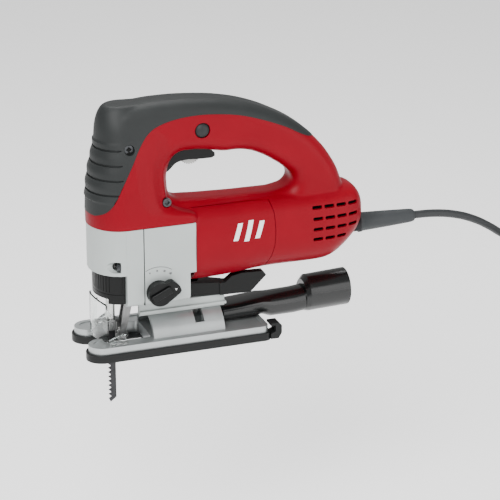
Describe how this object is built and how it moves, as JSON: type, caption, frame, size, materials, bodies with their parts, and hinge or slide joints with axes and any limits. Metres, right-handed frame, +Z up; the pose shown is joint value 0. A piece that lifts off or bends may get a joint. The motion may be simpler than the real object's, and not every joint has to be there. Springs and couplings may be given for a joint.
{
  "type": "jigsaw power tool",
  "caption": "Corded top-handle orbital jigsaw with tilting shoe, roller-guided blade on a geared plunger, dust spigot, speed dial, release lever and opened motor, drive and switch.",
  "frame": {"origin": "centre of the underside of the sole, on the face that rests on the work", "axes": "-X is the cutting direction and the front, +X the rear and the cord, +Z up, -Y the left side that carries the orbit selector"},
  "size_m": [0.5399, 0.1152, 0.2759],
  "materials": {
    "red_housing": "semi-gloss moulded nylon",
    "soft_black": "fine matt grain",
    "cast_aluminium": "bead-blasted casting",
    "black_plastic": "fine texture",
    "control_black": "satin",
    "dial_grey": "satin",
    "switch_plastic": "satin",
    "screw_steel": "black oxide",
    "machined_steel": "ground",
    "gear_steel": "cut and hardened, oiled",
    "bearing_steel": "polished",
    "bushing_bronze": "sintered bronze",
    "blade_steel": "black",
    "lamination_steel": "stacked sheet",
    "stator_steel": "stacked sheet",
    "commutator_copper": "turned copper",
    "fan_plastic": "glass-filled",
    "brush_brass": "pressed",
    "brush_carbon": "carbon",
    "shoe_casting": "cast, brushed top",
    "sole_black": "fine texture",
    "clear_guard": "clear polycarbonate",
    "duct_black": "satin",
    "cord_rubber": "smooth rubber",
    "plug_black": "satin"
  },
  "bodies": {
    "housing_body": {"handle_shell_left": "red_housing", "handle_shell_right": "red_housing", "motor_housing": "red_housing", "soft_grip_left": "soft_black", "soft_grip_right": "soft_black", "gear_case": "cast_aluminium", "gear_case_cover": "cast_aluminium", "tilt_support": "cast_aluminium", "housing_screw_1": "screw_steel", "housing_screw_2": "screw_steel", "cover_screw_left": "screw_steel", "cover_screw_right": "screw_steel", "switch_module": "switch_plastic", "nose_skirt": "black_plastic", "lower_bushing": "bushing_bronze", "upper_bushing": "bushing_bronze", "gear_bearing": "bearing_steel", "front_bearing": "bearing_steel", "rear_bearing": "bearing_steel", "field_stator": "stator_steel", "brush_holder_left": "brush_brass", "brush_holder_right": "brush_brass", "brush_left": "brush_carbon", "brush_right": "brush_carbon", "clamp_nut": "machined_steel", "cord_gland": "cord_rubber", "cord": "cord_rubber", "cord_coil": "cord_rubber", "cord_plug": "plug_black"},
    "trigger_body": {"trigger": "control_black"},
    "dial_body": {"speed_dial": "dial_grey"},
    "lock_body": {"lock_button": "control_black"},
    "orbit_knob_body": {"orbit_knob": "control_black"},
    "release_lever_body": {"blade_release_lever": "control_black"},
    "plunger_body": {"plunger_rod": "machined_steel", "yoke": "gear_steel", "blade_clamp": "gear_steel", "blade": "blade_steel"},
    "armature_body": {"armature_shaft": "machined_steel", "armature_core": "lamination_steel", "commutator": "commutator_copper", "cooling_fan": "fan_plastic"},
    "drive_gear_body": {"drive_gear": "gear_steel"},
    "orbit_fork_body": {"orbit_fork": "gear_steel", "roller_pin": "machined_steel"},
    "roller_body": {"guide_roller": "machined_steel"},
    "shoe_body": {"shoe_plate": "shoe_casting", "sole_cover": "sole_black", "chip_guard": "clear_guard"},
    "dust_tube_body": {"dust_tube": "duct_black"},
    "bevel_lever_body": {"bevel_lever": "control_black", "clamp_screw": "machined_steel"}
  },
  "joints": [
    {"name": "trigger_pull", "type": "slide", "parent": "housing_body", "child": "trigger_body", "axis": [0, 0, 1], "range_m": [0, 0.005], "stiffness_N_per_m": 700, "springref_m": -0.003},
    {"name": "speed_dial_turn", "type": "hinge", "parent": "trigger_body", "child": "dial_body", "pos_m": [0.0175, 0, 0.1716], "axis": [0, 1, 0], "range_deg": [-140, 140]},
    {"name": "lock_button_press", "type": "slide", "parent": "housing_body", "child": "lock_body", "axis": [0, 1, 0], "range_m": [0, 0.003], "stiffness_N_per_m": 500, "springref_m": -0.002},
    {"name": "orbit_selector", "type": "hinge", "parent": "housing_body", "child": "orbit_knob_body", "pos_m": [-0.0215, -0.031, 0.0583], "axis": [0, -1, 0], "range_deg": [0, 90]},
    {"name": "blade_release", "type": "hinge", "parent": "housing_body", "child": "release_lever_body", "pos_m": [-0.0536, 0.0232, 0.066], "axis": [0, 0, -1], "range_deg": [0, 70], "stiffness_Nm_per_rad": 0.08, "springref_deg": -17.19},
    {"name": "plunger_stroke", "type": "slide", "parent": "housing_body", "child": "plunger_body", "axis": [0, 0, 1], "range_m": [0, 0.026]},
    {"name": "armature_spin", "type": "hinge", "parent": "housing_body", "child": "armature_body", "pos_m": [0, 0, 0.0983], "axis": [1, 0, 0], "continuous": true},
    {"name": "drive_gear_spin", "type": "hinge", "parent": "housing_body", "child": "drive_gear_body", "pos_m": [-0.036, 0, 0.078], "axis": [1, 0, 0], "continuous": true},
    {"name": "orbit_swing", "type": "hinge", "parent": "housing_body", "child": "orbit_fork_body", "pos_m": [-0.0384, 0, 0.055], "axis": [0, -1, 0], "range_deg": [0, 3]},
    {"name": "roller_spin", "type": "hinge", "parent": "orbit_fork_body", "child": "roller_body", "pos_m": [-0.04635, 0, 0.011], "axis": [0, 1, 0], "continuous": true},
    {"name": "shoe_tilt", "type": "hinge", "parent": "housing_body", "child": "shoe_body", "pos_m": [0, 0, 0.005], "axis": [1, 0, 0], "range_deg": [-45, 45]},
    {"name": "dust_tube_pull", "type": "slide", "parent": "shoe_body", "child": "dust_tube_body", "axis": [1, 0, 0], "range_m": [0, 0.06]},
    {"name": "bevel_lever_swing", "type": "hinge", "parent": "housing_body", "child": "bevel_lever_body", "pos_m": [0.0195, 0, 0.045], "axis": [0, 0, -1], "range_deg": [0, 60]}
  ],
  "couplings": [
    {"joint": "drive_gear_spin", "follows": "armature_spin", "ratio": -0.16}
  ]
}
